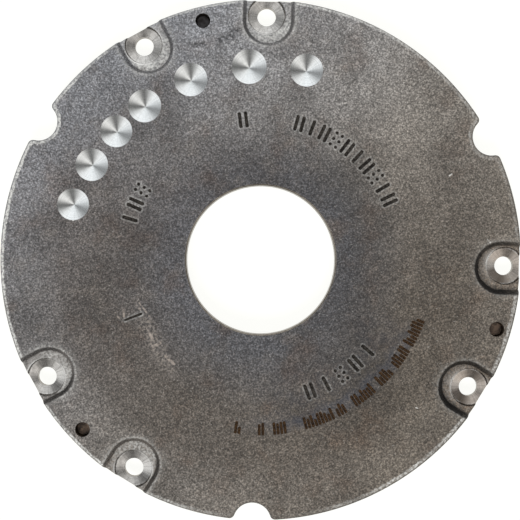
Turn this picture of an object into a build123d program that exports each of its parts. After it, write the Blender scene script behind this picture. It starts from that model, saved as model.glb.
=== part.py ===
from build123d import *
import os
from math import radians, tan

# Clutch pressure plate: a grey-iron disc that is bolted through three pairs of seats on its rim.
# The as-cast front faces +Z. The ground back face lies at Z = 0 and the bore runs along Z.
# The first locating pin is on +Y. All sizes are in millimetres and all angles in degrees.

# Disc
plate_diameter = 210.0
plate_thickness = 10.0
rim_edge_radius = 1.6          # rolled edge between the cast front and the rim
rim_back_chamfer = 0.6
bore_diameter = 60.0
bore_chamfer = 0.5

# Stations: one pin between two bolts, and a notch before the next station
station_count = 3
first_station_angle = 90.0
bolt_rim_distance = 6.0        # from the rim in to the circle of the bolts and pins
bolt_half_spread = 15.0        # from a station's pin to each of its bolts
notch_offset = 45.0            # from a station's pin to the next notch
casting_turn = -0.5            # how far the cast notches and reliefs are turned from the drilled holes

# Bolt holes and their spot-faced seats, which break out through the rim
bolt_hole_diameter = 7.6
seat_diameter = 15.0
seat_depth = 5.0               # from the front face to the seat's outer edge
seat_cone_drop = 1.5           # from the seat's outer edge to the bolt hole
hole_chamfer = 0.3

# U-shaped cast relief around each seat, open to the rim
relief_depth = 2.9
relief_half_width = 9.0        # at its floor
relief_setback = 2.2           # from the bolts' circle in to the centre of the U's round end
relief_draft = 28.0            # lean of its wall
relief_mouth_chamfer = 0.35
relief_mouth_draft = 60.0

# Scalloped rim notches
notch_radius = 7.66
notch_depth = 7.0              # from the rim in to a notch's floor
notch_corner_margin = 0.5      # how much rounder a notch's corners are than the rim's edge

# Locating pins, pressed in from the back
pin_diameter = 6.0
pin_projection = 5.0           # below the back face
pin_seated_length = 6.0
pin_chamfer = 0.5
pin_relief_width = 0.8         # undercut at the back face
pin_relief_depth = 0.3

# Balancing drill marks, drilled by hand: angle on the plate, distance in from the rim
# and diameter at the mouth
drill_point_angle = 118.0
balance_marks = (
    (62.8, 26.5, 13.2),
    (79.8, 27.1, 14.0),
    (97.6, 27.2, 13.4),
    (113.4, 27.4, 13.3),
    (124.7, 27.2, 12.9),
    (137.0, 27.0, 13.1),
    (149.9, 26.3, 12.8),
)

# Ground back: the land the bolts and pins pass through, a run-out groove inside it,
# the friction face and the cleared middle
bolting_land_width = 11.5
groove_width = 1.5
groove_depth = 0.5
friction_face_width = 34.0
middle_clearance = 1.5

# Values that follow from the sizes above
plate_radius = plate_diameter / 2
bolt_circle_radius = plate_radius - bolt_rim_distance
bore_radius = bore_diameter / 2
bolt_hole_radius = bolt_hole_diameter / 2
seat_radius = seat_diameter / 2
pin_radius = pin_diameter / 2
groove_outer_radius = plate_radius - bolting_land_width
friction_outer_radius = groove_outer_radius - groove_width
friction_inner_radius = friction_outer_radius - friction_face_width
notch_centre_radius = plate_radius - notch_depth + notch_radius
notch_corner_radius = rim_edge_radius + notch_corner_margin
notch_angle = first_station_angle + notch_offset + casting_turn
past_face = 1.0                # how far a cutter runs out of the metal
past_rim = 2 * seat_radius     # how far a relief's cutter runs out of the rim


def revolved(*points):
    """A solid turned about Z from a closed outline of (radius, height) points."""
    outline = make_face(Polyline(*[(r, 0, z) for r, z in points], close=True))
    return revolve(outline, Axis.Z)


def hole_cutter(radius, ceiling):
    """A hole drilled up from the back face to this height, with a chamfer at its mouth."""
    return revolved(
        (0, -past_face),
        (radius + hole_chamfer + past_face, -past_face),
        (radius, hole_chamfer),
        (radius, ceiling),
        (0, ceiling),
    )


def rim_outline():
    """The round rim with its notches let in and the notch corners rounded."""
    notches = PolarLocations(notch_centre_radius, station_count, start_angle=notch_angle)
    outline = Circle(plate_radius) - notches * Circle(notch_radius)
    centres = [place.position for place in notches]
    corners = [
        vertex
        for vertex in outline.vertices()
        if min((Vector(vertex) - centre).length for centre in centres) < notch_radius + past_face
    ]
    return fillet(corners, notch_corner_radius)


def disc():
    """The outline given its thickness, with the rolled front edge and the chamfered back edge."""
    body = extrude(rim_outline(), plate_thickness)
    front_edges = body.faces().sort_by(Axis.Z)[-1].outer_wire().edges()
    body = fillet(front_edges, rim_edge_radius)
    back_edges = body.faces().sort_by(Axis.Z)[0].outer_wire().edges()
    return chamfer(back_edges, rim_back_chamfer)


def bore_cutter():
    """The centre bore, its two chamfers and the cleared middle of the back face."""
    chamfer_step = bore_chamfer + past_face
    return revolved(
        (0, -past_face),
        (friction_inner_radius, -past_face),
        (friction_inner_radius, middle_clearance),
        (bore_radius + bore_chamfer, middle_clearance),
        (bore_radius, middle_clearance + bore_chamfer),
        (bore_radius, plate_thickness - bore_chamfer),
        (bore_radius + chamfer_step, plate_thickness + past_face),
        (0, plate_thickness + past_face),
    )


def groove_cutter():
    """The run-out groove around the friction face."""
    return revolved(
        (friction_outer_radius, -past_face),
        (groove_outer_radius, -past_face),
        (groove_outer_radius, groove_depth),
        (friction_outer_radius, groove_depth),
    )


def relief_outline(half_width):
    """A U about the bolt: its round end towards the bore, its straight sides out past the rim."""
    length = relief_setback + past_rim
    straight = Pos(length / 2 - relief_setback, 0) * Rectangle(length, 2 * half_width)
    return straight + Pos(-relief_setback, 0) * Circle(half_width)


def relief_cutter():
    """The drafted relief, with a steeper lean for the chamfer at its mouth."""
    chamfer_rise = relief_mouth_chamfer / tan(radians(relief_mouth_draft))
    wall_rise = relief_depth - chamfer_rise
    mouth_half_width = relief_half_width + wall_rise * tan(radians(relief_draft))
    wall = extrude(relief_outline(relief_half_width), relief_depth + past_face, taper=-relief_draft)
    mouth = Pos(0, 0, wall_rise) * extrude(
        relief_outline(mouth_half_width), chamfer_rise + past_face, taper=-relief_mouth_draft
    )
    return Pos(0, 0, plate_thickness - relief_depth) * (wall + mouth)


def seat_cutter():
    """The bolt hole, the shallow cone of its seat and the round wall above the cone."""
    seat_edge = plate_thickness - seat_depth
    hole = hole_cutter(bolt_hole_radius, seat_edge)
    seat = revolved(
        (0, seat_edge - seat_cone_drop),
        (bolt_hole_radius, seat_edge - seat_cone_drop),
        (seat_radius, seat_edge),
        (seat_radius, plate_thickness + past_face),
        (0, plate_thickness + past_face),
    )
    return hole + seat


def balance_mark_cutter(mouth_diameter):
    """The point of a drill, sunk until its mouth has this diameter in the front face."""
    slope = tan(radians(drill_point_angle / 2))
    tip = plate_thickness - mouth_diameter / 2 / slope
    top = plate_thickness + past_face
    return revolved((0, tip), ((top - tip) * slope, top), (0, top))


def polar(radius, angle):
    """A place on the plate, turned so that its X axis points away from the bore."""
    return Rot(0, 0, angle) * Pos(radius, 0, 0)


def pressure_plate():
    """The casting, machined all over its back and at its seats, holes and balancing marks."""
    body = disc() - bore_cutter() - groove_cutter()
    for side in (-1, 1):
        first_bolt = first_station_angle + side * bolt_half_spread
        first_relief = first_bolt + casting_turn
        for place in PolarLocations(bolt_circle_radius, station_count, start_angle=first_relief):
            body -= place * relief_cutter()
        for place in PolarLocations(bolt_circle_radius, station_count, start_angle=first_bolt):
            body -= place * seat_cutter()
    pin_hole = hole_cutter(pin_radius, plate_thickness + past_face)
    for place in PolarLocations(bolt_circle_radius, station_count, start_angle=first_station_angle):
        body -= place * pin_hole
    for angle, rim_distance, mouth_diameter in balance_marks:
        body -= polar(plate_radius - rim_distance, angle) * balance_mark_cutter(mouth_diameter)
    return body.solid()


def locating_pin():
    """A dowel on Z: chamfered ends, and an undercut where it leaves the back face."""
    neck_radius = pin_radius - pin_relief_depth
    return revolved(
        (0, -pin_projection),
        (pin_radius - pin_chamfer, -pin_projection),
        (pin_radius, pin_chamfer - pin_projection),
        (pin_radius, -pin_relief_width),
        (neck_radius, -pin_relief_width),
        (neck_radius, 0),
        (pin_radius, 0),
        (pin_radius, pin_seated_length - pin_chamfer),
        (pin_radius - pin_chamfer, pin_seated_length),
        (0, pin_seated_length),
    )


os.makedirs("parts", exist_ok=True)
export_step(pressure_plate(), "parts/pressure_plate.step")
stations = PolarLocations(bolt_circle_radius, station_count, start_angle=first_station_angle)
for number, station in enumerate(stations, start=1):
    pin = station * locating_pin()
    export_step(pin, f"parts/locating_pin_{number}.step")
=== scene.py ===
import bmesh
import bpy
import math
import numpy as np
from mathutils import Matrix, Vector, geometry


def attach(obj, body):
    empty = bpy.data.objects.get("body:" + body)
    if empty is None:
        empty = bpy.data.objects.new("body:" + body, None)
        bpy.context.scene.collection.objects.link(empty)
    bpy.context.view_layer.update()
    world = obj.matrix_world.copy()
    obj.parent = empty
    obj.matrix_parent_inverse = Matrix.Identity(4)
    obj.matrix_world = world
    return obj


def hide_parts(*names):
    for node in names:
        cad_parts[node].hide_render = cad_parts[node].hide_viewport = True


# The dressed clutch pressure plate. The CAD plate is replaced by one closed mesh of the same sizes whose
# front is a height field, so that its rolled edges, drafted reliefs, spot-faced seats, drill marks, sunk
# foundry marks and the slight waviness of the casting are all real shape. Lengths in this script are
# millimetres until they are given to Blender, which works in metres. Angles are in degrees, and those of
# places on the plate are measured about the bore from the plate's X axis.

MM = 0.001
ROLL = 13.6  # how far the plate is turned in the camera's frame

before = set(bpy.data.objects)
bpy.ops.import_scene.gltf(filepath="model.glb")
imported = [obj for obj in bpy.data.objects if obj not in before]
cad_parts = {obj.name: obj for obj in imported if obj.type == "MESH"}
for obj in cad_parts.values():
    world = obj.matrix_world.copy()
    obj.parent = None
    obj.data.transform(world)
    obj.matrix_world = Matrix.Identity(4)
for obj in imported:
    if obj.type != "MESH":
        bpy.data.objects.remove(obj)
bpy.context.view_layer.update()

# -------- sizes, as in the CAD plate
PLATE_R = 105.0
THICK = 10.0
BORE_R = 30.0
BORE_CHAMFER = 0.5
EDGE_ROLL = 1.6  # rolled edge between the front and the rim
BACK_CHAMFER = 0.6
STATIONS = (90.0, 210.0, 330.0)
BOLT_SPREAD = 15.0
NOTCH_TURN = 45.0
CASTING_TURN = -0.5  # how far the cast notches and reliefs are turned from the drilled holes
PITCH_R = PLATE_R - 6.0
BOLT_R = 3.8
SEAT_R = 7.5
SEAT_DEPTH = 5.0
CONE_DROP = 1.5
PIN_R = 3.0
HOLE_CHAMFER = 0.3
RELIEF_DEPTH = 2.9
RELIEF_FLOOR_HALF = 9.0
RELIEF_SETBACK = 2.2
RELIEF_DRAFT = math.radians(28.0)
RELIEF_WALL_TOP = RELIEF_FLOOR_HALF + RELIEF_DEPTH * math.tan(RELIEF_DRAFT)
NOTCH_R = 7.66
NOTCH_CENTRE = PLATE_R - 7.0 + NOTCH_R
NOTCH_CORNER = EDGE_ROLL + 0.5
DRILL_SLOPE = 1 / math.tan(math.radians(59.0))
DRILL_MARKS = (  # angle, distance in from the rim, diameter at the mouth
    (62.8, 26.5, 13.2), (79.8, 27.1, 14.0), (97.6, 27.2, 13.4), (113.4, 27.4, 13.3),
    (124.7, 27.2, 12.9), (137.0, 27.0, 13.1), (149.9, 26.3, 12.8),
)
LAND_R = PLATE_R - 11.5  # back: groove's outer edge, friction face's two edges
FRICTION_OUT = LAND_R - 1.5
FRICTION_IN = FRICTION_OUT - 34.0
GROOVE_DEPTH = 0.5
MIDDLE_DEPTH = 1.5

# -------- finish that is finer than the CAD's
WALL_RUN = 0.12  # how far a straight wall leans over its height
MOUTH_ROUND = 0.45  # rounding along the top of a relief
FOOT_ROUND = 0.35  # rounding along its foot
FLOOR_ROLL = 1.1  # rolled edge between a relief's floor and the rim
SEAT_NOSE = 0.6  # corner left around a seat's floor by the cutter's nose
CAST_WAVE = 0.06  # depth of the casting's waviness
CAST_SINK = 0.03  # how far its highest places stay below the nominal face
RELIEF_WAVE_SHIFT = 40  # the waviness of the reliefs' floors is taken this far off
CALM_NEAR = 0.2  # the waviness sets in between these distances from a drill mark's mouth
CALM_FAR = 2.5

# -------- sunk and etched marks: plain bars and pips
SUNK_HALF = 0.62  # half the width of a stroke
SUNK_LEAN = 0.45  # width of its sloping side
SUNK_DEPTH = 0.5
SUNK_TALL = 5.2
SUNK_GAP = 2.5
SUNK_ARCS = (  # radius, first angle, step, marks along the arc
    (57.0, 60.5, -5.45, "pair bar pair pips pair bar pair pips bar pair"),
    (56.8, 83.5, 0.0, "pair"),
    (55.2, 149.0, -6.6, "bar pair pips"),
    (56.4, -83.0, 7.3, "pair bar pips pair bar"),
)
SUNK_SHAPES = {  # each stroke's two ends, across and along the mark, in half sizes
    "bar": ((0, -1, 0, 1),),
    "pair": ((-1, -1, -1, 1), (1, -1, 1, 1)),
    "pips": tuple((u, v, u, v) for u in (-1, 1) for v in (-1, 0, 1)),
}
NICK = ((-58.6, -10.7), (-51.8, -9.8), 0.4, 0.35)  # one slanting nick: its ends, half width, depth
ETCH_R = 68.1  # circle through the middle of a full bar
ETCH_TALL = 5.0
ETCH_WIDE = 1.2
ETCH_PITCH = 1.42
ETCH_LIFT = 0.02  # how far the film of a bar stands off the skin
ETCH_PROFILE = ((1, 0.7), (0.88, 1), (0.5, 1), (0.12, 1), (0, 0.7))  # shares of a bar's height and width
ETCH_BLOCKS = (  # angle of the block's middle, and the height of each bar in tenths
    (-38.8, (10, 8, 6, 10, 8, 10, 10, 7)),
    (-48.5, (8, 10, 10, 6, 10, 10)),
    (-57.0, (10, 7, 10, 10, 6)),
    (-66.5, (10, 10, 6, 10, 8, 8, 10)),
    (-75.5, (7, 10, 8)),
    (-83.6, (10, 8, 10, 6, 10, 10, 8, 6, 10)),
    (-97.2, (10, 9, 10, 10)),
    (-103.5, (9, 10)),
    (-111.4, (10, 6)),
)

# -------- the lines that the mesh follows
FINE_STEP = 0.9  # spacing of points along a sharp feature
FILL_STEP = 1.9  # over the plain skin
STROKE_STEP = 0.45  # and round a sunk stroke
ROW_RISE = 0.866  # height of a row of even triangles, as a share of their side
RIM_OVERRUN = 1.2  # how far a relief's lines run out past the rim
ROLL_LINES = (0, 14, 28, 42, 56, 70, 90)  # angles round the rolled edge
BORE_LINES = (0, 0.12, 0.3, 0.42, 0.6)  # distances out from the bore
FOOT_LINES = (-0.35, -0.15, 0.0, 0.2, 0.6)  # from the foot of a relief's wall
TOP_LINES = (-0.5, -0.22, -0.05, 0.08, 0.25, 0.5, 1.0)  # from its top
PIN_LINES = (0, 0.1, 0.25, 0.6)  # from a dowel's hole
MOUTH_LINES = (-0.25, 0.0, 0.2, 0.6)  # from the mouth of a drill mark
MOUTH_SHARES = (0.03, 0.08, 0.15, 0.25, 0.4, 0.55, 0.7, 0.85)  # rings inside it, as shares of its radius
STROKE_LINES = (-SUNK_LEAN / 2, 0, SUNK_LEAN / 2, 0.55, 0.95)  # from the side of a sunk stroke
SEAT_RINGS = (  # radii about a bolt
    BOLT_R, BOLT_R + 0.15, 4.6, 5.5, 6.3, 6.9, 7.1, 7.25, 7.36, 7.44, SEAT_R - 0.02, SEAT_R, SEAT_R + 0.06,
    SEAT_R + WALL_RUN, SEAT_R + WALL_RUN + 0.1, SEAT_R + 0.35, SEAT_R + 0.65,
)

# -------- dirt, wear and painted light
# Strokes on the front: both ends, and half the width
SCUFFS = (  # pale rubs
    ((-61.9, -7.0), (-60.9, -9.4), 0.5), ((-58.3, -6.6), (-58.8, -9.2), 0.6),
    ((-53.0, -6.2), (-51.6, -8.2), 0.6), ((-51.9, -4.4), (-49.0, -11.4), 0.45),
    ((-50.6, -17.4), (-49.8, -20.4), 0.9), ((-50.4, -23.6), (-47.2, -23.0), 0.8),
    ((-46.4, -28.6), (-43.8, -32.4), 0.7),
)
WIDE_RUB = ((-51.4, -14.0), (-47.2, -32.5), 4.6)
SMEARS = (  # dark smears
    ((4.6, 89.4), (10.0, 90.4), 2.1), ((9.4, 92.4), (13.6, 92.0), 1.2),
    ((-7.4, 90.6), (-2.0, 89.6), 1.5),
)
FLECKS = (  # bright nicks
    ((-88.6, -17.4), (-85.6, -17.0), 0.4), ((80.4, 14.6), (82.8, 15.4), 0.4),
    ((90.6, -13.6), (91.4, -15.0), 0.4), ((46.6, -72.4), (47.4, -72.9), 0.3),
    ((-69.6, 33.2), (-68.4, 33.8), 0.4),
)

# Reliefs and seats, in the order of BOLTS: at 75, 105, 195, 225, 315 and 345 degrees
RELIEF_DIRT_AND_SHADE = (  # dirt and painted shade on the left, round the end and on the right
    (0.75, 0.0, 0.5), (0.45, 0.15, 0.55), (1.0, 0.0, 0.8),
    (0.85, 0.25, 0.65), (1.1, 1.1, 1.5), (1.0, 1.3, 1.4),
)
FLOOR_WEAR_AND_LIGHT = (1.15, 0.85, 0.65, 0.6, 0.25, 0.2)  # how bright a relief's floor is, from wear and painted light
MOUTH_WEAR_AND_HIGHLIGHT = (0.7, 0.45, 0.45, 0.45, 0.45, 0.45)  # and the top of its wall, from wear and painted highlight
BROWNED = (0.0, 0.0, 0.3, 0.5, 1.0, 0.8)  # how far its floor has browned
SEAT_OIL_AND_SHEEN = (  # darker (+) places of oil and painted dark reflection, and paler (-) places of painted sheen: heading from the bolt, spread, strength
    ((166, 35, -0.3), (346, 30, -0.15)),
    ((346, 35, -0.3),),
    ((300, 40, 0.35), (346, 30, -0.8)),
    ((300, 45, 0.5), (346, 34, -0.9)),
    ((226, 42, 1.0), (168, 30, -0.5), (31, 30, 0.5)),
    ((240, 50, 1.0), (168, 26, -0.6)),
)
SEAT_LIP_HIGHLIGHTS = (  # where the edge of each seat has a painted highlight, written down the same way
    ((236, 35, 0.5),),
    ((16, 30, 0.6), (240, 45, 1.0)),
    ((132, 36, 0.6), (0, 40, 0.6)),
    ((166, 20, 0.5), (346, 35, 0.6)),
    ((150, 40, 0.5), (346, 25, 0.5)),
    ((145, 35, 0.6),),
)

# The rim's line of wear and painted highlight, and the broad patches of the front
SHADED_HEADING = -44  # middle of the side where the rim is dark outside its line
LINE_START = 0.1  # distance from the rim to the line
LINE_SHIFT = 0.35  # how much further in it lies on the shaded side and where it shines more
LINE_WIDEN = 0.4  # and how much wider it is there, as a share
LINE_HIGHLIGHT = 0.85  # how bright its painted highlight is
RIM_PAINTED_HIGHLIGHT = (  # heading, spread, and how much more or less painted highlight it has there
    (151, 14, 0.7), (128, 12, 0.45), (182, 20, 0.5), (222, 14, 0.3), (62, 14, 0.35),
    (302, 26, 0.65), (259, 20, -0.9), (0, 14, -0.5), (330, 8, 0.3),
)
PATCHES = (  # paler and darker places: heading, radius, reach, change
    (301, 60, 26, -0.38), (31, 47, 20, -0.3), (31, 70, 16, 0.22), (61, 92, 28, 0.28),
    (151, 95, 22, 0.28), (271, 84, 22, 0.28), (271, 62, 12, -0.15), (1, 99, 14, -0.15),
    (31, 99, 14, -0.2), (181, 97, 12, -0.2), (301, 99, 14, -0.18),
)

# -------- floor, light and camera
# Headings of lights are turned from the right-hand side of the camera's frame
FLOOR_Z = -5.02  # just clear of the dowels' ends
FLOOR_HALF = 3000.0
FLOOR_GLOW = 0.92  # how white the floor looks to the camera and in reflections
SIDE_LIGHT = 1.15  # the room: a bright band all round, and a darker ceiling
TOP_LIGHT = 0.55
GAPS = ((268, 30, 0.84), (10, 28, 0.85), (153, 27, 0.72))  # heading, half width, share of the light taken
WARM_HEADING = 315  # the room's light is warm here and cool opposite
WARM_LIGHT = (1.0, 0.98, 0.95, 1.0)
COOL_LIGHT = (0.96, 0.985, 1.0, 1.0)
WHITE = (1.0, 1.0, 1.0, 1.0)
KEY_HEADING = 265  # one soft lamp, high up
KEY_HEIGHT = 62
KEY_DISTANCE = 1600.0
KEY_SIZE = 500.0
KEY_WATTS = 12.0
CAMERA_HEIGHT = 500.0  # above the front face
FRAME_WIDTH = 209.15  # seen across the front face
SENSOR = 36
SHIFT = (-0.7 / 520, -0.15 / 520)


def polar(radius, angle):
    turn = math.radians(angle)
    return np.array((radius * math.cos(turn), radius * math.sin(turn)))


def distance(p, place):
    """How far each point is from a place."""
    return np.hypot(*(p - place).T)


BOLT_ANGLES = [station + side * BOLT_SPREAD for station in STATIONS for side in (-1, 1)]
RELIEF_ANGLES = [angle + CASTING_TURN for angle in BOLT_ANGLES]
NOTCH_ANGLES = [station + NOTCH_TURN + CASTING_TURN for station in STATIONS]
BOLTS = [polar(PITCH_R, angle) for angle in BOLT_ANGLES]
RELIEFS = [polar(PITCH_R, angle) for angle in RELIEF_ANGLES]
PINS = [polar(PITCH_R, angle) for angle in STATIONS]
HOLES = [(centre, BOLT_R) for centre in BOLTS] + [(centre, PIN_R) for centre in PINS]
NOTCHES = [polar(NOTCH_CENTRE, angle) for angle in NOTCH_ANGLES]
MARKS = [(polar(PLATE_R - inset, angle), mouth / 2) for angle, inset, mouth in DRILL_MARKS]


# -------- the plate's outline
def corner_turn():
    """Half the angle, seen from the bore, between the centres of a notch's two rounded corners."""
    a, b, c = PLATE_R - NOTCH_CORNER, NOTCH_CENTRE, NOTCH_R + NOTCH_CORNER
    return math.acos((a * a + b * b - c * c) / (2 * a * b))


CORNERS = [
    (polar(PLATE_R - NOTCH_CORNER, angle + side * math.degrees(corner_turn())), notch)
    for angle, notch in zip(NOTCH_ANGLES, NOTCHES)
    for side in (-1, 1)
]


def rim_distance(p):
    """How far each point lies inside the outline of the rim, its notches and their rounded corners."""
    depth = PLATE_R - np.hypot(*p.T)
    for notch in NOTCHES:
        depth = np.minimum(depth, distance(p, notch) - NOTCH_R)
    for corner, notch in CORNERS:
        to_rim = corner / np.hypot(*corner)
        to_notch = (notch - corner) / np.hypot(*(notch - corner))
        a, b = np.linalg.solve(np.array((to_rim, to_notch)).T, (p - corner).T)
        in_corner = (a > 0) & (b > 0)
        depth = np.where(in_corner, NOTCH_CORNER - distance(p, corner), depth)
    return depth


def arc(centre, radius, start, end, step):
    """Points along an arc, its last one left to the next arc."""
    count = max(2, round(abs(math.radians(end - start)) * radius / step))
    return [centre + polar(radius, start + (end - start) * i / count) for i in range(count)]


def outline(inset, step):
    """The rim's outline, this far inside it: rounded corner, notch, rounded corner and rim, three times."""
    half = math.degrees(corner_turn())
    points = []
    for i, angle in enumerate(NOTCH_ANGLES):
        (first, notch), (second, _) = CORNERS[2 * i], CORNERS[2 * i + 1]
        inwards = math.degrees(math.atan2(*(notch - first)[::-1]))
        outwards = math.degrees(math.atan2(*(notch - second)[::-1]))
        turn_in = (inwards - (angle - half)) % 360
        turn_out = (outwards - (angle + half)) % 360 - 360
        sweep = (inwards + 180 - (outwards + 180)) % 360
        next_notch = angle + 360 / len(NOTCH_ANGLES)
        r = NOTCH_CORNER - inset
        points += arc(first, r, angle - half, angle - half + turn_in, step * 0.5)
        points += arc(notch, NOTCH_R + inset, inwards + 180, inwards + 180 - sweep, step * 0.6)
        points += arc(second, r, angle + half + turn_out, angle + half, step * 0.5)
        points += arc(np.zeros(2), PLATE_R - inset, angle + half, next_notch - half, step)
    return np.array(points)


# -------- heights of the two faces
def smooth_min(a, b, k):
    """The lower of two heights, with a rounding of size k where they cross."""
    h = np.clip(0.5 + 0.5 * (b - a) / k, 0, 1)
    return b + (a - b) * h - k * h * (1 - h)


def smooth_max(a, b, k):
    return -smooth_min(-a, -b, k)


def ramp(x, low, high):
    """A smooth rise from 0 to 1 between two values."""
    t = np.clip((x - low) / (high - low), 0, 1)
    return t * t * (3 - 2 * t)


def relief_frame(p, index):
    """Coordinates in a relief: along its middle line away from the bore, and across it."""
    angle = math.radians(RELIEF_ANGLES[index])
    rel = p - RELIEFS[index]
    along = rel[:, 0] * math.cos(angle) + rel[:, 1] * math.sin(angle)
    across = -rel[:, 0] * math.sin(angle) + rel[:, 1] * math.cos(angle)
    return along, across


def relief_distance(p, index):
    """Distance from the middle line of a relief: round towards the bore, straight towards the rim."""
    along, across = relief_frame(p, index)
    return np.hypot(np.minimum(along + RELIEF_SETBACK, 0), across)


def cast_wave(p):
    """The slight unevenness of a cast face, always at or below its nominal height."""
    x, y = p[:, 0], p[:, 1]
    swell = (
        np.sin(x / 11.3 + 1.3 * np.sin(y / 17.1))
        + np.sin(y / 9.7 + 1.1 * np.sin(x / 13.9) + 2.0)
        + 0.6 * np.sin((x + y) / 5.3 + 0.5)
        + 0.6 * np.sin((x - 1.4 * y) / 6.1 + 4.0)
    )
    return CAST_WAVE * (swell / 3.2 - 1) / 2 - CAST_SINK


def rolled_edge(depth, roll=EDGE_ROLL):
    """How far a face that is rolled off at this radius drops towards the rim."""
    t = np.clip(roll - depth, 0, roll)
    return roll - np.sqrt(roll**2 - t * t)


def seat_height(r):
    """The spot-faced seat about a bolt: shallow cone, cutter's nose, straight wall."""
    edge = THICK - SEAT_DEPTH
    cone = edge - CONE_DROP * (SEAT_R - r) / (SEAT_R - BOLT_R)
    into_nose = np.clip(r - (SEAT_R - SEAT_NOSE), 0, SEAT_NOSE)
    nose = SEAT_NOSE - np.sqrt(SEAT_NOSE**2 - into_nose**2)
    wall = np.maximum(r - SEAT_R, 0) * SEAT_DEPTH / WALL_RUN
    return cone + nose + wall


def capsule_distance(p, a, b):
    """Distance from the straight line between two places."""
    along = np.clip(((p - a) @ (b - a)) / max((b - a) @ (b - a), 1e-9), 0, 1)
    return np.hypot(*(p - a - along[:, None] * (b - a)).T)


def front_height(p):
    """The front face with all that is rolled off, sunk, drilled and cut in it."""
    rim = rim_distance(p)
    wave = cast_wave(p)
    for centre, mouth in MARKS:
        wave = wave * ramp(distance(p, centre), mouth + CALM_NEAR, mouth + CALM_FAR)
    z = THICK + wave - rolled_edge(rim)
    r = np.hypot(*p.T)
    z = np.minimum(z, THICK - BORE_CHAMFER + (r - BORE_R))
    for a, b, half_width, depth in SUNK_STROKES:
        d = capsule_distance(p, a, b)
        z = z - depth * (1 - ramp(d, half_width - SUNK_LEAN / 2, half_width + SUNK_LEAN / 2))
    for centre, mouth in MARKS:
        cone = THICK - (mouth - distance(p, centre)) * DRILL_SLOPE
        z = np.minimum(z, cone)
    for i, centre in enumerate(BOLTS):
        s = relief_distance(p, i)
        wall = THICK - RELIEF_DEPTH + (s - RELIEF_FLOOR_HALF) / math.tan(RELIEF_DRAFT)
        bottom = THICK - RELIEF_DEPTH + cast_wave(p + RELIEF_WAVE_SHIFT) - rolled_edge(rim, FLOOR_ROLL)
        z = smooth_min(z, smooth_max(bottom, wall, FOOT_ROUND), MOUTH_ROUND)
        r = distance(p, centre)
        z = np.where(r < SEAT_R + WALL_RUN, np.minimum(z, seat_height(r)), z)
    return z


def back_height(p):
    """The back face: chamfered rim, groove, friction face, cleared middle and chamfered holes."""
    z = np.maximum(0, BACK_CHAMFER - rim_distance(p))
    r = np.hypot(*p.T)
    groove = ramp(r, FRICTION_OUT, FRICTION_OUT + WALL_RUN) - ramp(r, LAND_R - WALL_RUN, LAND_R)
    middle = 1 - ramp(r, FRICTION_IN - WALL_RUN, FRICTION_IN)
    z = np.maximum(z, np.maximum(GROOVE_DEPTH * groove, MIDDLE_DEPTH * middle))
    z = np.where(r < BORE_R + BORE_CHAMFER, MIDDLE_DEPTH + BORE_CHAMFER - (r - BORE_R), z)
    for centre, radius in HOLES:
        z = np.maximum(z, HOLE_CHAMFER - (distance(p, centre) - radius))
    return z


def sunk_strokes():
    """Every sunk stroke as its two ends, half width and depth."""
    strokes = []
    for radius, first, step, marks in SUNK_ARCS:
        for number, shape in enumerate(marks.split()):
            angle = first + number * step
            out, side = polar(1, angle), polar(1, angle + 90)
            centre = radius * out
            for u0, v0, u1, v1 in SUNK_SHAPES[shape]:
                a = centre + side * u0 * SUNK_GAP / 2 + out * v0 * SUNK_TALL / 2
                b = centre + side * u1 * SUNK_GAP / 2 + out * v1 * SUNK_TALL / 2
                strokes.append((a, b, SUNK_HALF, SUNK_DEPTH))
    start, end, half, depth = NICK
    strokes.append((np.array(start), np.array(end), half, depth))
    return strokes


SUNK_STROKES = sunk_strokes()


# -------- triangles of a height field
class Sketch:
    """Points and lines that a face's triangles must follow."""

    def __init__(self):
        self.points = []
        self.edges = []

    def line(self, points, closed=False):
        start = len(self.points)
        self.points += [tuple(point) for point in points]
        count = len(points)
        self.edges += [(start + i, start + i + 1) for i in range(count - 1)]
        if closed:
            self.edges.append((start + count - 1, start))

    def ring(self, centre, radius, step):
        self.line(arc(np.array(centre), radius, 0, 360, step), closed=True)

    def fill(self, spacing, margin=0.3):
        """Spread points over what the lines leave empty, off the rim and the bore by a margin."""
        rows = int(PLATE_R / (spacing * ROW_RISE)) + 1
        row, column = np.mgrid[-rows:rows + 1, -rows:rows + 1]
        grid = np.column_stack(((column + 0.5 * (row % 2)).ravel(), ROW_RISE * row.ravel())) * spacing
        grid = grid[(rim_distance(grid) > margin) & (np.hypot(*grid.T) > BORE_R + margin)]

        def cell(x, y):
            return round(x / spacing), round(y / spacing)
        taken = {cell(x, y) for x, y in self.points}
        self.points += [(x, y) for x, y in grid.tolist() if cell(x, y) not in taken]

    def triangles(self, border=0):
        """Corner points, triangles, and the corner that each given point became. The first edges, this
        many, run round the metal, and the triangles outside them are left out."""
        coords = [Vector(point) for point in self.points]
        verts, _, faces, from_input, _, _ = geometry.delaunay_2d_cdt(coords, self.edges, [], 0, 1e-6)
        home = {}
        for corner, inputs in enumerate(from_input):
            for index in inputs:
                home[index] = corner
        xy = np.array([tuple(v) for v in verts])
        tri = np.array(faces)
        middle = xy[tri].mean(axis=1)
        keep = rim_distance(middle) > 0
        for centre, radius in [(np.zeros(2), BORE_R)] + HOLES:
            inside = distance(xy, centre) < radius + 1e-5
            keep &= ~inside[tri].all(axis=1)
        rim = {(home[a], home[b]) for a, b in self.edges[:border]}
        outside = [any((f[i], f[i - 1]) in rim for i in range(3)) for f in tri.tolist()]
        keep &= ~np.array(outside)
        return xy, tri[keep], home


def edge_of(triangles):
    """The directed border edges of a set of triangles."""
    pairs = np.concatenate([triangles[:, (0, 1)], triangles[:, (1, 2)], triangles[:, (2, 0)]])
    known = {tuple(pair) for pair in pairs.tolist()}
    return [pair for pair in known if (pair[1], pair[0]) not in known]


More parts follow.
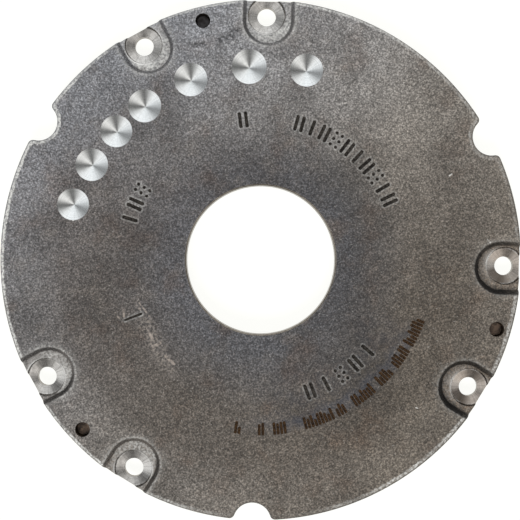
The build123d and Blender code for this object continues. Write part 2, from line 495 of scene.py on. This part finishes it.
def relief_line(index, off, step):
    """The line at this distance from a relief's middle line, run out past the rim."""
    angle = math.radians(RELIEF_ANGLES[index])
    turn = np.array(((math.cos(angle), -math.sin(angle)), (math.sin(angle), math.cos(angle))))
    reach = PLATE_R - PITCH_R + RIM_OVERRUN
    straight = np.linspace(reach, -RELIEF_SETBACK, max(3, round((reach + RELIEF_SETBACK) / step)))
    bend = arc(np.array((-RELIEF_SETBACK, 0)), off, 90, 270, step)
    side_a = [(x, off) for x in straight[:-1]]
    side_b = [(x, -off) for x in straight[::-1]]
    return [RELIEFS[index] + turn @ np.array(point) for point in side_a + bend + side_b]


def stroke_line(a, b, off):
    """The closed line at this distance from a stroke's middle line, or from the centre of a pip."""
    length = np.hypot(*(b - a))
    if length < 1e-6:
        return arc(b, off, -90, 90, STROKE_STEP) + arc(a, off, 90, 270, STROKE_STEP)
    angle = math.degrees(math.atan2(*(b - a)[::-1]))
    far_end = arc(b, off, angle - 90, angle + 90, STROKE_STEP)
    near_end = arc(a, off, angle + 90, angle + 270, STROKE_STEP)
    share = np.linspace(0, 1, max(2, round(length / STROKE_STEP)) + 1)[1:-1, None]
    side = polar(off, angle + 90)
    return far_end + list(b + side + share * (a - b)) + near_end + list(a - side + share * (b - a))


def front_sketch():
    sketch = Sketch()
    for degrees in ROLL_LINES:
        inset = EDGE_ROLL * (1 - math.cos(math.radians(degrees)))
        sketch.line(outline(inset, FINE_STEP), closed=True)
    for extra in BORE_LINES:
        sketch.ring((0, 0), BORE_R + extra, FINE_STEP)
    for i, centre in enumerate(BOLTS):
        for start, lines in ((RELIEF_FLOOR_HALF, FOOT_LINES), (RELIEF_WALL_TOP, TOP_LINES)):
            for extra in lines:
                sketch.line(relief_line(i, start + extra, FINE_STEP * 0.7))
        for r in SEAT_RINGS:
            sketch.ring(centre, r, FINE_STEP * 0.5)
    for centre in PINS:
        for extra in PIN_LINES:
            sketch.ring(centre, PIN_R + extra, FINE_STEP * 0.5)
    for centre, mouth in MARKS:
        for share in MOUTH_SHARES:
            sketch.ring(centre, mouth * share, min(FINE_STEP * 0.7, mouth * share / 3))
        for extra in MOUTH_LINES:
            sketch.ring(centre, mouth + extra, FINE_STEP * 0.6)
    for a, b, half, _ in SUNK_STROKES:
        for extra in STROKE_LINES:
            sketch.line(stroke_line(a, b, half + extra), closed=True)
    sketch.fill(FILL_STEP)
    return sketch


def back_sketch(border_points, border_edges):
    """The lines of the back face. They start with the front's own border, so that the walls join them."""
    sketch = Sketch()
    sketch.points = [tuple(point) for point in border_points]
    sketch.edges = list(border_edges)
    sketch.line(outline(BACK_CHAMFER, FINE_STEP), closed=True)
    groove = (FRICTION_OUT, FRICTION_OUT + WALL_RUN, LAND_R - WALL_RUN, LAND_R)
    for r in (BORE_R + BORE_CHAMFER, FRICTION_IN - WALL_RUN, FRICTION_IN, *groove):
        sketch.ring((0, 0), r, FINE_STEP * 2)
    for centre, radius in HOLES:
        sketch.ring(centre, radius + HOLE_CHAMFER, FINE_STEP)
    sketch.fill(FILL_STEP * 3)
    return sketch


# -------- where the surface is dirty, worn and tinted, and where light and shade are painted on it
def bumps_about(p, bumps):
    """The sum of smooth bumps, each at its own heading."""
    angle = np.degrees(np.arctan2(p[:, 1], p[:, 0]))
    total = np.zeros(len(p))
    for middle, spread, change in bumps:
        off = (angle - middle + 180) % 360 - 180
        total += change * np.exp(-((off / spread) ** 2))
    return total


def from_foot(p, index):
    """Distance from the foot of a relief's wall, below 0 on its floor. The wall's top is at 1.54."""
    return relief_distance(p, index) - RELIEF_FLOOR_HALF


def shaded_side(p):
    """1 on the side of the plate where the rim gets painted shade outside its bright line, and 0 on the
    other.
    """
    return ramp(p @ polar(1, SHADED_HEADING), -20, 60)


def painted_lip_highlight(p, index):
    """How bright a painted highlight the edge of a seat has, on the seat and just around it."""
    rel = p - BOLTS[index]
    return bumps_about(rel, SEAT_LIP_HIGHLIGHTS[index]) * (1 - ramp(np.hypot(*rel.T), SEAT_R + 0.4, SEAT_R + 0.8))


def dirt_and_painted_shade(p):
    """Dirt and painted shade on the wall of each relief, and painted shade around its seat and along the
    shaded side of the rim.
    """
    amount = 0.5 * shaded_side(p) * (1 - ramp(rim_distance(p), 0.3, 0.9))
    for i, (left, end, right) in enumerate(RELIEF_DIRT_AND_SHADE):
        foot = from_foot(p, i)
        along, across = relief_frame(p, i)
        side = across / np.maximum(relief_distance(p, i), 0.01)
        here = end + (left - end) * ramp(side, 0.1, 0.9) + (right - end) * ramp(-side, 0.1, 0.9)
        inner = -0.4 - 1.2 * np.clip(here - 0.8, 0, 0.7)
        here = here * ramp(foot, inner, 0.3) * (1 - ramp(foot, 0.4 + 0.7 * here, 1.2 + 0.8 * here))
        here *= 1 - 0.3 * ramp(along, -2, 5)
        # a painted dark ring just outside each seat, weaker where its edge has a painted highlight
        shade_by_seat = 1 - ramp(distance(p, BOLTS[i]), SEAT_R + WALL_RUN, SEAT_R + 0.6)
        shade_by_seat *= 0.5 - painted_lip_highlight(p, i)
        amount = np.maximum(amount, np.maximum(here, shade_by_seat))
    return amount


def rim_wear_and_highlight(p):
    """How far each point lies inside the start of the rim's line of wear and painted highlight, and how
    brightly that line is painted.
    """
    shine = bumps_about(p, RIM_PAINTED_HIGHLIGHT)
    inward = np.clip(shaded_side(p) + np.maximum(shine, 0), 0, 1)
    bright = np.maximum(LINE_HIGHLIGHT + shine, 0)
    for i in range(len(BOLTS)):
        bright *= ramp(from_foot(p, i), 1.2, 1.6)
    depth = (rim_distance(p) - LINE_START - LINE_SHIFT * inward) / (1 + LINE_WIDEN * inward)
    return np.clip(depth, -1, 4), bright


def wear_and_painted_highlight(p):
    """Wear and painted highlight along the edges of the sunk marks, and on the floor and the top of the wall
    of each relief.
    """
    amount = np.zeros(len(p))
    for a, b, half, _ in SUNK_STROKES:
        d = capsule_distance(p, a, b)
        amount = np.maximum(amount, 0.5 * ramp(d, half, half + 0.2) * (1 - ramp(d, half + 0.25, half + 0.9)))
    for i in range(len(BOLTS)):
        foot = from_foot(p, i)
        along, _ = relief_frame(p, i)
        mouth = MOUTH_WEAR_AND_HIGHLIGHT[i] * ramp(foot, 1.2, 1.7) * (1 - ramp(foot, 1.9, 3.0))
        bottom = FLOOR_WEAR_AND_LIGHT[i] * (1 - ramp(foot, -0.2, 0.3)) * (0.5 + 0.5 * ramp(-along, -2, 6))
        amount = np.where(foot < 1.4, np.maximum(mouth, bottom), np.maximum(amount, mouth))
    return amount


def heated(p):
    """Where the etching beam has tinted the skin about its marks."""
    r, angle = np.hypot(*p.T), np.degrees(np.arctan2(p[:, 1], p[:, 0]))
    band = (0.4 * ramp(r, 40, 56) + 0.6 * ramp(r, 62, 66)) * (1 - ramp(r, 68.5, 71))
    return band * ramp(angle, -118, -90) * (1 - ramp(angle, -44, -33))


def stain_and_painted_sheen(p):
    """Browned floors of the reliefs, and on the seats oil with painted dark reflections. Below 0 a seat has a
    pale painted sheen.
    """
    amount = np.zeros(len(p))
    half_up_wall = SEAT_R + WALL_RUN / 2
    for i, (centre, patches) in enumerate(zip(BOLTS, SEAT_OIL_AND_SHEEN)):
        away = distance(p, centre)
        on_floor = (from_foot(p, i) < 0.4) & (away > half_up_wall)
        amount = np.where(on_floor, BROWNED[i], amount)
        amount = np.where(away < half_up_wall, bumps_about(p - centre, patches), amount)
    return amount


def cloudy(p):
    """How much lighter or darker the cast face is in its broad patches."""
    total = np.ones(len(p))
    for angle, radius, reach, change in PATCHES:
        away = distance(p, polar(radius, angle)) / reach
        total += change * np.cos(np.minimum(away, 1) * math.pi / 2) ** 2
    return total


# -------- the plate's mesh
CAST, SEAT, DRILLED, SUNK, GROUND, BORED, RIM = range(7)  # its kinds of skin, one material slot each
SHARP_ANGLE = 24  # an edge that turns more than this is shaded sharp


def front_kind(p):
    kind = np.full(len(p), CAST)
    for a, b, half, _ in SUNK_STROKES:
        kind[capsule_distance(p, a, b) < half] = SUNK
    for centre, mouth in MARKS:
        kind[distance(p, centre) < mouth] = DRILLED
    for centre in BOLTS:
        kind[distance(p, centre) < SEAT_R + WALL_RUN] = SEAT
    kind[np.hypot(*p.T) < BORE_R + BORE_CHAMFER] = BORED
    return kind


def wall_kind(p):
    kind = np.full(len(p), RIM)
    for centre in BOLTS + PINS:
        kind[distance(p, centre) < BOLT_R + 0.1] = BORED
    kind[np.hypot(*p.T) < BORE_R + 0.1] = BORED
    return kind


def own_axis(p):
    """The axis that each point was turned about: its seat's, its drill mark's or the bore's."""
    axis = np.zeros_like(p)
    for centre, reach in [(c, SEAT_R + 0.1) for c in BOLTS] + [(c, m + 0.1) for c, m in MARKS]:
        axis[distance(p, centre) < reach] = centre
    return axis


def store(mesh, name, values):
    kind, field = ("FLOAT", "value") if values.ndim == 1 else ("FLOAT_VECTOR", "vector")
    attribute = mesh.attributes.new(name, kind, "POINT")
    attribute.data.foreach_set(field, np.asarray(values, dtype=np.float32).ravel())


def store_surface(mesh, flat, on_front):
    rel = flat - own_axis(flat)
    radius = np.hypot(*rel.T)
    outwards = np.column_stack((rel, np.zeros(len(rel)))) / np.maximum(radius, 1e-6)[:, None]
    line_depth, line_highlight = rim_wear_and_highlight(flat)
    store(mesh, "tool_radius", radius)
    store(mesh, "across_rings", outwards)
    only_front = {
        "dirt_and_painted_shade": dirt_and_painted_shade(flat),
        "wear_and_painted_highlight": wear_and_painted_highlight(flat),
        "line_depth": line_depth,
        "line_highlight": line_highlight,
        "heated": heated(flat),
        "stain_and_painted_sheen": stain_and_painted_sheen(flat),
        "lip_highlight": sum(painted_lip_highlight(flat, i) for i in range(len(BOLTS))),
    }
    for name, values in only_front.items():
        store(mesh, name, values * on_front)
    store(mesh, "cloudy", cloudy(flat))


def drop_loose(mesh):
    """Take away the corners that no face uses."""
    shape = bmesh.new()
    shape.from_mesh(mesh)
    bmesh.ops.delete(shape, geom=[v for v in shape.verts if not v.link_faces], context="VERTS")
    shape.to_mesh(mesh)
    shape.free()


def plate_mesh():
    """The front and the back as two sheets of triangles, joined by upright walls along their border."""
    xy, tri, _ = front_sketch().triangles()
    reach = np.hypot(*xy.T)
    by_rim = np.abs(reach - PLATE_R) < 0.01  # where a relief's line crosses the rim between two points
    xy[by_rim] *= PLATE_R / reach[by_rim, None]
    border = edge_of(tri)
    used = sorted({corner for pair in border for corner in pair})
    place = {corner: i for i, corner in enumerate(used)}
    back = back_sketch(xy[used], [(place[a], place[b]) for a, b in border])
    back_xy, back_tri, home = back.triangles(border=len(border))
    front_z, back_z = front_height(xy), back_height(back_xy)
    below = {corner: len(xy) + home[place[corner]] for corner in used}
    verts = np.vstack((np.column_stack((xy, front_z)), np.column_stack((back_xy, back_z))))
    faces = tri.tolist() + (back_tri[:, ::-1] + len(xy)).tolist()
    faces += [(b, a, below[a], below[b]) for a, b in border]
    mesh = bpy.data.meshes.new("pressure_plate_body")
    mesh.from_pydata((verts * MM).tolist(), [], faces)
    kinds = np.concatenate((
        front_kind(xy[tri].mean(axis=1)),
        np.full(len(back_tri), GROUND),
        wall_kind(np.array([(xy[a] + xy[b]) / 2 for a, b in border])),
    ))
    mesh.polygons.foreach_set("material_index", kinds.astype(np.int32))
    mesh.polygons.foreach_set("use_smooth", np.ones(len(kinds), dtype=bool))
    store_surface(mesh, verts[:, :2], np.arange(len(verts)) < len(xy))
    drop_loose(mesh)
    return mesh


# -------- materials
def srgb(red, green, blue):
    """A colour given in 0 to 255 steps, as a linear colour."""
    def linear(step):
        c = step / 255
        return c / 12.92 if c <= 0.04045 else ((c + 0.055) / 1.055) ** 2.4
    return (linear(red), linear(green), linear(blue), 1.0)


def heading(angle):
    """A level direction, turned this much from the right-hand side of the camera's frame."""
    turn = math.radians(angle - ROLL)
    return (math.cos(turn), math.sin(turn), 0.0)


class Nodes:
    """A node tree, with short names for the nodes that this script uses."""

    def __init__(self, owner):
        owner.use_nodes = True
        self.tree = owner.node_tree
        self.place = self.tree.nodes.new("ShaderNodeTexCoord").outputs["Object"]

    def add(self, kind, inputs=(), **settings):
        node = self.tree.nodes.new("ShaderNode" + kind)
        for key, value in settings.items():
            setattr(node, key, value)
        for key, value in dict(inputs).items():
            self.feed(node.inputs[key], value)
        return node

    def feed(self, socket, value):
        if isinstance(value, bpy.types.NodeSocket):
            self.tree.links.new(value, socket)
        else:
            socket.default_value = value

    def noise(self, size, detail=3.0, roughness=0.55, away=0):
        """Noise with grains about this many millimetres across. Taken further away, it is another noise."""
        place = self.place
        if away:
            place = self.add("VectorMath", {0: place, 1: (away, 2.0 * away, 0.0)}, operation="ADD").outputs[0]
        inputs = {"Vector": place, "Scale": 1 / (size * MM), "Detail": detail, "Roughness": roughness}
        return self.add("TexNoise", inputs).outputs["Fac"]

    def attribute(self, name, output="Fac"):
        return self.add("Attribute", attribute_name=name).outputs[output]

    def math(self, operation, *values):
        node = self.add("Math", operation=operation)
        for socket, value in zip(node.inputs, values):
            self.feed(socket, value)
        return node.outputs[0]

    def times(self, first, *others):
        for other in others:
            first = self.math("MULTIPLY", first, other)
        return first

    def span(self, value, low, high, to_low=0.0, to_high=1.0):
        """The value carried over from one range to another, and held at the ends."""
        inputs = {"Value": value, "From Min": low, "From Max": high, "To Min": to_low, "To Max": to_high}
        return self.add("MapRange", inputs).outputs["Result"]

    def mix(self, share, a, b):
        node = self.add("Mix", data_type="RGBA")
        self.feed(node.inputs["Factor"], share)
        self.feed(node.inputs[6], a)  # the node's sockets for colours
        self.feed(node.inputs[7], b)
        return node.outputs[2]

    def tint(self, tone, mask, strength, colour):
        """Lay a colour over a tone where a mask says so."""
        return self.mix(self.math("MULTIPLY", mask, strength), tone, colour)

    def shade(self, tone, factor):
        """The tone made lighter or darker."""
        return self.add("VectorMath", {0: tone, "Scale": factor}, operation="SCALE").outputs[0]

    def bump(self, height, depth, strength=1.0, under=None):
        """A relief whose full height is this many millimetres."""
        inputs = {"Height": height, "Distance": depth * MM, "Strength": strength}
        if under is not None:
            inputs["Normal"] = under
        return self.add("Bump", inputs).outputs["Normal"]

    def dot(self, vector, direction):
        return self.add("VectorMath", {0: vector, 1: direction}, operation="DOT_PRODUCT").outputs["Value"]

    def across(self, angle, low, high, to_low=0.0, to_high=1.0):
        """A change across the plate in this heading, between two distances from the bore's axis."""
        return self.span(self.dot(self.place, heading(angle)), low * MM, high * MM, to_low, to_high)

    def radius(self):
        """Distance from the bore's axis in metres."""
        flat = self.add("VectorMath", {0: self.place, 1: (1.0, 1.0, 0.0)}, operation="MULTIPLY").outputs[0]
        return self.add("VectorMath", {0: flat}, operation="LENGTH").outputs["Value"]

    def stroke(self, a, b, half_width):
        """A mask around the straight line between two places on the front, in millimetres."""
        start, run = Vector((*a, THICK)) * MM, Vector((b[0] - a[0], b[1] - a[1], 0.0)) * MM
        rel = self.add("VectorMath", {0: self.place, 1: start}, operation="SUBTRACT").outputs[0]
        share = self.span(self.dot(rel, run), 0.0, run.length_squared)
        along = self.add("VectorMath", {0: run, "Scale": share}, operation="SCALE").outputs[0]
        away = self.add("VectorMath", {0: rel, 1: along}, operation="DISTANCE").outputs["Value"]
        return self.span(away, half_width * MM, 0.4 * half_width * MM)


class Skin(Nodes):
    """A material built around one Principled shader."""

    def __init__(self, name):
        self.material = bpy.data.materials.new(name)
        super().__init__(self.material)
        self.shader = self.tree.nodes["Principled BSDF"]

    def set(self, **inputs):
        for key, value in inputs.items():
            self.feed(self.shader.inputs[key.replace("_", " ")], value)


def cast_skin(name, darkness=0.0):
    """Blasted grey iron: a fine grain that glints, in cool and warm blotches, paler towards the rim, and with
    a painted sheen towards heading 74.
    """
    n = Skin(name)
    radius = n.radius()
    outward = n.span(radius, 36 * MM, 62 * MM)
    # a painted sheen, paler towards heading 74; the same paler tone also fills a band inside the rim
    painted_sheen = n.across(74, 0.0, 76)
    cool = n.across(140, -10, 90)
    warm = n.across(-25, 10, 80)
    tone = n.mix(outward, srgb(89, 89, 92), srgb(97, 91, 85))
    tone = n.tint(tone, cool, 0.7, srgb(104, 102, 104))
    paler_tone = n.mix(cool, srgb(142, 137, 131), srgb(144, 146, 151))
    tone = n.tint(tone, n.times(painted_sheen, outward), 0.85, paler_tone)
    tone = n.tint(tone, n.span(radius, 80 * MM, 94 * MM), 0.42, paler_tone)
    tone = n.tint(tone, n.times(warm, outward), 0.5, srgb(110, 100, 87))

    # Blotches, freckles of rust and the browned floors
    tone = n.tint(tone, n.span(n.noise(26, 2.0), 0.4, 0.66), 0.42, srgb(54, 50, 47))
    tone = n.tint(tone, n.span(n.noise(9), 0.52, 0.72), 0.25, srgb(128, 120, 112))
    tone = n.tint(tone, n.span(n.noise(14), 0.55, 0.75), 0.3, srgb(92, 70, 54))
    tone = n.tint(tone, n.span(n.noise(0.9, 1.0, away=7), 0.55, 0.7), 0.1, srgb(112, 84, 60))
    tone = n.shade(tone, n.attribute("cloudy"))
    brown = n.times(n.attribute("stain_and_painted_sheen"), n.span(n.noise(1.0, 2.0, 0.6, away=13), 0.4, 0.65, 0.3, 1.0))
    tone = n.tint(tone, brown, 0.4, srgb(124, 100, 76))

    # The grain: dark pits and bright grains of two sizes
    grain = n.noise(0.6, 1.0, 0.5)
    tone = n.shade(tone, n.span(grain, 0.2, 0.56, 0.3, 1.14))
    tone = n.shade(tone, n.span(grain, 0.54, 0.8, 1.0, 2.1))
    tone = n.shade(tone, n.span(n.noise(1.3, 2.0, 0.6), 0.3, 0.42, 0.7, 1.0))
    tone = n.shade(tone, n.span(n.noise(1.0, 2.0, 0.6, away=5), 0.62, 0.74, 1.0, 1.8))

    # Worn places and the line along the rim with its uneven sides, partly painted highlight
    uneven = n.span(n.noise(1.6, 2.0, away=17), 0.3, 0.7, -0.2, 0.2)
    depth = n.math("ADD", n.attribute("line_depth"), uneven)
    line = n.times(n.span(depth, 0.0, 0.35), n.span(depth, 1.3, 0.9), n.attribute("line_highlight"))
    chips = n.span(n.noise(1.0, away=3), 0.43, 0.58, 0.3, 1.2)
    broken = n.span(n.noise(8.0), 0.35, 0.6, 0.45, 1.0)
    edge = n.times(n.math("MAXIMUM", n.attribute("wear_and_painted_highlight"), line), n.times(chips, broken))
    # brighter towards heading 185 and dimmer away from it: painted light
    edge = n.times(edge, n.across(185, -90, 40, 0.6, 1.0))
    tone = n.tint(tone, edge, 0.95, srgb(222, 221, 217))
    # the painted highlight along the seats' edges
    tone = n.tint(tone, n.attribute("lip_highlight"), 1.0, srgb(248, 247, 244))

    # Rubs, smears, nicks and stray painted glints
    rubbed = n.times(n.stroke(*WIDE_RUB), n.span(n.noise(1.2, 3.0, 0.6, away=11), 0.47, 0.62))
    tone = n.tint(tone, rubbed, 0.5, srgb(176, 166, 156))
    marks = ((SCUFFS, 0.5, (206, 192, 180)), (SMEARS, 0.7, (44, 44, 46)), (FLECKS, 0.9, (226, 224, 218)))
    for strokes, strength, colour in marks:
        mask = 0.0
        for stroke in strokes:
            mask = n.math("MAXIMUM", mask, n.stroke(*stroke))
        mask = n.times(mask, n.span(n.noise(1.4), 0.38, 0.55))
        tone = n.tint(tone, mask, strength, srgb(*colour))
    tone = n.tint(tone, n.span(n.noise(0.75, 0.0, away=9), 0.74, 0.86), 0.45, srgb(190, 186, 180))

    # Heat tint, and the dirt and painted shade that lie over everything
    tinted = n.times(n.attribute("heated"), n.span(n.noise(5.0), 0.35, 0.6, 0.2, 1.0))
    tone = n.tint(tone, tinted, 0.42, srgb(60, 70, 88))
    dirt_and_shade = n.times(n.attribute("dirt_and_painted_shade"), n.span(n.noise(1.6, 2.0), 0.3, 0.6, 0.7, 1.0))
    tone = n.tint(tone, dirt_and_shade, 0.92, srgb(20, 18, 17))
    if darkness:
        tone = n.mix(darkness, tone, srgb(30, 28, 27))
    fine = n.bump(n.noise(0.55, 3.0, 0.65), 0.12 if darkness else 0.14, 0.9)
    coarse = n.bump(n.noise(1.9, 3.0, 0.6), 0.08 if darkness else 0.3, 0.8, under=fine)
    n.set(Base_Color=tone, Metallic=0.3, Roughness=n.span(grain, 0.3, 0.7, 0.66, 0.42), Normal=coarse)
    return n.material


def machined_metal(name, colour, shade, roughness, pitch, depth, anisotropy, cloud, lip=0.0):
    """Bright metal cut about an axis, with rings left by the tool. Without anisotropy it lines a hole."""
    n = Skin(name)
    place = n.attribute("tool_radius")
    if not anisotropy:
        place = n.math("DIVIDE", n.dot(n.place, (0.0, 0.0, 1.0)), MM)
    inputs = {"W": place, "Scale": 1 / pitch, "Detail": 2.0}
    rings = n.add("TexNoise", inputs, noise_dimensions="1D").outputs["Fac"]
    tone = n.tint(colour, n.span(n.noise(1.6), 0.35, 0.7), cloud, shade)
    tone = n.tint(tone, n.span(rings, 0.42, 0.7), cloud, shade)
    metallic = 1.0
    if lip:
        stain_and_sheen = n.attribute("stain_and_painted_sheen")
        rubbed = n.span(stain_and_sheen, 0.0, -1.0)
        tone = n.tint(tone, n.across(-25, 10, 80), 0.4, srgb(184, 160, 138))
        # darker where a seat has oil and painted dark reflections, paler where it has painted sheen
        tone = n.tint(tone, n.span(stain_and_sheen, 0.0, 1.0), 0.9, srgb(74, 66, 58))
        tone = n.tint(tone, rubbed, 1.0, srgb(216, 214, 210))
        # a painted highlight just inside the seat's edge, and a painted dark line at the edge itself
        line = n.times(n.span(place, lip - 0.6, lip - 0.4), n.span(place, lip - 0.05, lip - 0.2))
        broken = n.span(n.noise(4.0, 2.0), 0.46, 0.6, 0.0, 0.6)
        line = n.times(line, n.math("MAXIMUM", broken, n.attribute("lip_highlight")))
        tone = n.tint(tone, line, 0.9, srgb(236, 234, 232))
        tone = n.tint(tone, n.span(place, lip - 0.04, lip), 0.8, srgb(52, 50, 48))
        metallic = n.math("SUBTRACT", n.span(line, 0.0, 1.0, 1.0, 0.3), n.times(rubbed, 0.8))
    n.set(Metallic=metallic, Roughness=n.span(n.noise(0.7, 2.0), 0.3, 0.7, roughness, roughness + 0.08))
    n.set(Normal=n.bump(rings, depth, 0.7))
    if anisotropy:
        outwards = n.attribute("across_rings", "Vector")
        rays = n.add("TexNoise", {"Vector": outwards, "Scale": 9.0, "Detail": 4.0}).outputs["Fac"]
        tone = n.tint(tone, n.span(rays, 0.48, 0.7), cloud, shade)
        n.set(Anisotropic=anisotropy, Tangent=outwards)
    n.set(Base_Color=tone)
    return n.material


def sunk_dirt_and_shade_skin():
    """The floor of a sunk mark, which holds old sand and dirt, darkened further by painted shade."""
    n = Skin("sunk_dirt_and_shade_skin")
    tone = n.mix(n.span(n.noise(0.7, 2.0), 0.4, 0.65), srgb(28, 26, 24), srgb(66, 62, 57))
    n.set(Base_Color=tone, Metallic=0.0, Roughness=0.9, Specular_IOR_Level=0.2)
    n.set(Normal=n.bump(n.noise(0.5, 2.0), 0.08))
    return n.material


def etched_skin():
    """Iron darkened to brown by an etching beam."""
    n = Skin("etched_brown")
    tone = n.mix(n.span(n.noise(0.9, 2.0), 0.35, 0.65), srgb(48, 32, 17), srgb(92, 66, 38))
    n.set(Base_Color=tone, Metallic=0.1, Roughness=0.65, Normal=n.bump(n.noise(0.6, 2.0), 0.06))
    return n.material


def pin_steel():
    """Dull dark steel: grey on the dowel towards +Y, and browner on the other two."""
    n = Skin("pin_steel")
    rusty = n.span(n.dot(n.place, (0.0, 1.0, 0.0)), 60 * MM, -20 * MM)
    tone = n.mix(rusty, srgb(70, 68, 70), srgb(108, 91, 78))
    tone = n.tint(tone, n.span(n.noise(1.8), 0.4, 0.62), 0.85, srgb(30, 26, 24))
    n.set(Base_Color=tone, Metallic=0.6, Roughness=n.span(n.noise(0.7), 0.3, 0.7, 0.3, 0.5))
    n.set(Normal=n.bump(n.noise(0.4, 2.0), 0.02))
    return n.material


# -------- the object
def new_object(name, data, materials=()):
    obj = bpy.data.objects.new(name, data)
    bpy.context.scene.collection.objects.link(obj)
    for material in materials:
        data.materials.append(material)
    return obj


def weight_normals(obj):
    """Shade smooth, with the large faces kept flat, apart from the sharp edges."""
    obj.modifiers.new("weighted", "WEIGHTED_NORMAL").keep_sharp = True


def dress_plate():
    mesh = plate_mesh()
    metals = {  # name, colour, shade, roughness, pitch, depth, anisotropy, cloud, lip
        SEAT: ("seat_metal", (222, 219, 215), (112, 109, 106), 0.22, 0.3, 0.006, 0.5, 0.45, SEAT_R),
        DRILLED: ("drilled_metal", (238, 240, 240), (150, 152, 154), 0.17, 0.4, 0.003, 0.7, 0.14),
        GROUND: ("ground_metal", (168, 166, 164), (140, 137, 134), 0.28, 0.6, 0.006, 0.6, 0.25),
        BORED: ("bored_metal", (170, 162, 150), (96, 88, 80), 0.32, 0.35, 0.01, 0.0, 0.7),
    }
    skins = {CAST: cast_skin("cast_iron_skin"), SUNK: sunk_dirt_and_shade_skin(), RIM: cast_skin("rim_skin", 0.25)}
    for kind, (name, colour, shade, *finish) in metals.items():
        skins[kind] = machined_metal(name, srgb(*colour), srgb(*shade), *finish)
    plate = new_object("pressure_plate_body", mesh, [skins[kind] for kind in sorted(skins)])
    mesh.set_sharp_from_angle(angle=math.radians(SHARP_ANGLE))
    weight_normals(plate)
    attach(plate, "root")
    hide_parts("pressure_plate")


def dress_pins():
    steel = pin_steel()
    for number in range(1, len(STATIONS) + 1):
        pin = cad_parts[f"locating_pin_{number}"]
        for slot in pin.material_slots:
            slot.material = steel
        weight_normals(pin)


def etched_bars():
    """Rows of brown bars etched on the skin, following it a hair above."""
    shape = bmesh.new()
    for middle, heights in ETCH_BLOCKS:
        for number, tenths in enumerate(heights):
            offset = (number - (len(heights) - 1) / 2) * ETCH_PITCH
            angle = middle + math.degrees(offset / ETCH_R)
            out, side = polar(1, angle), polar(1, angle + 90)
            base = (ETCH_R + ETCH_TALL / 2) * out
            rows = [base - out * ETCH_TALL * (tenths / 10) * t for t, _ in ETCH_PROFILE]
            halves = [side * ETCH_WIDE * width / 2 for _, width in ETCH_PROFILE]
            left = [row + half for row, half in zip(rows, halves)]
            right = [row - half for row, half in zip(rows, halves)]
            z = front_height(np.array(left + right)) + ETCH_LIFT
            corners = [shape.verts.new(Vector((x, y, h)) * MM) for (x, y), h in zip(left + right, z)]
            count = len(rows)
            for i in range(count - 1):
                shape.faces.new((corners[i], corners[i + 1], corners[count + i + 1], corners[count + i]))
    bmesh.ops.solidify(shape, geom=shape.faces[:], thickness=ETCH_LIFT * 2 * MM)
    bmesh.ops.recalc_face_normals(shape, faces=shape.faces[:])
    mesh = bpy.data.meshes.new("etched_bars")
    shape.to_mesh(mesh)
    shape.free()
    bars = new_object("etched_bars", mesh, [etched_skin()])
    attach(bars, "root")


# -------- the room around it
def floor():
    """A matt floor that takes shadows and glows white to the camera and in reflections."""
    mesh = bpy.data.meshes.new("floor")
    half, z = FLOOR_HALF * MM, FLOOR_Z * MM
    corners = [(-half, -half, z), (half, -half, z), (half, half, z), (-half, half, z)]
    mesh.from_pydata(corners, [], [(0, 1, 2, 3)])
    n = Skin("floor_white")
    n.set(Base_Color=(0.15, 0.15, 0.148, 1.0), Roughness=0.9, Specular_IOR_Level=0.0)
    rays = n.add("LightPath").outputs
    seen = n.math("MAXIMUM", rays["Is Camera Ray"], rays["Is Glossy Ray"])
    seen = n.math("MAXIMUM", seen, rays["Is Transmission Ray"])
    glow = n.add("Emission", {"Color": (1.0, 1.0, 0.965, 1.0), "Strength": n.times(seen, FLOOR_GLOW)})
    both = n.add("AddShader", {0: n.shader.outputs[0], 1: glow.outputs[0]})
    n.tree.links.new(both.outputs[0], n.tree.nodes["Material Output"].inputs["Surface"])
    ground = new_object("floor", mesh, [n.material])


def room():
    """A bright band all round with soft dark gaps, a darker ceiling, and white to the camera."""
    world = bpy.context.scene.world or bpy.data.worlds.new("World")
    bpy.context.scene.world = world
    n = Nodes(world)
    look = n.tree.nodes.new("ShaderNodeTexCoord").outputs["Generated"]
    up = n.dot(look, (0.0, 0.0, 1.0))
    level = n.math("SQRT", n.math("SUBTRACT", 1.0001, n.times(up, up)))
    light = n.span(up, 0.99, 0.8, TOP_LIGHT, SIDE_LIGHT)
    for angle, half_width, share in GAPS:
        facing = n.math("DIVIDE", n.dot(look, heading(angle)), level)
        falloff = math.log(0.5) / math.log(math.cos(math.radians(half_width)))
        gap = n.math("POWER", n.math("MAXIMUM", facing, 0.0), falloff)
        gap = n.times(gap, n.span(up, 0.96, 0.8))
        light = n.times(light, n.math("SUBTRACT", 1.0, n.times(gap, share)))
    colour = n.mix(n.span(n.dot(look, heading(WARM_HEADING)), -0.6, 0.6), COOL_LIGHT, WARM_LIGHT)
    colour = n.shade(colour, light)
    colour = n.mix(n.add("LightPath").outputs["Is Camera Ray"], colour, WHITE)
    background = n.tree.nodes["Background"]
    n.feed(background.inputs["Color"], colour)
    background.inputs["Strength"].default_value = 1.0


def key_lamp():
    lamp = bpy.data.lights.new("key", "AREA")
    lamp.shape = "DISK"
    lamp.size = KEY_SIZE * MM
    lamp.energy = KEY_WATTS
    place = Vector(heading(KEY_HEADING)) * math.cos(math.radians(KEY_HEIGHT))
    place.z = math.sin(math.radians(KEY_HEIGHT))
    key = new_object("key", lamp)
    key.location = place * (KEY_DISTANCE * MM)
    key.rotation_euler = (-place).to_track_quat("-Z", "Y").to_euler()
    key.visible_glossy = False


def camera():
    data = bpy.data.cameras.new("camera")
    data.sensor_width = SENSOR
    data.lens = SENSOR * CAMERA_HEIGHT / FRAME_WIDTH
    data.shift_x, data.shift_y = SHIFT
    cam = new_object("camera", data)
    cam.location = (0, 0, (THICK + CAMERA_HEIGHT) * MM)
    cam.rotation_euler = (0, 0, -math.radians(ROLL))
    bpy.context.scene.camera = cam


dress_plate()
dress_pins()
etched_bars()
floor()
room()
key_lamp()
camera()
bpy.context.scene.view_settings.view_transform = "Standard"
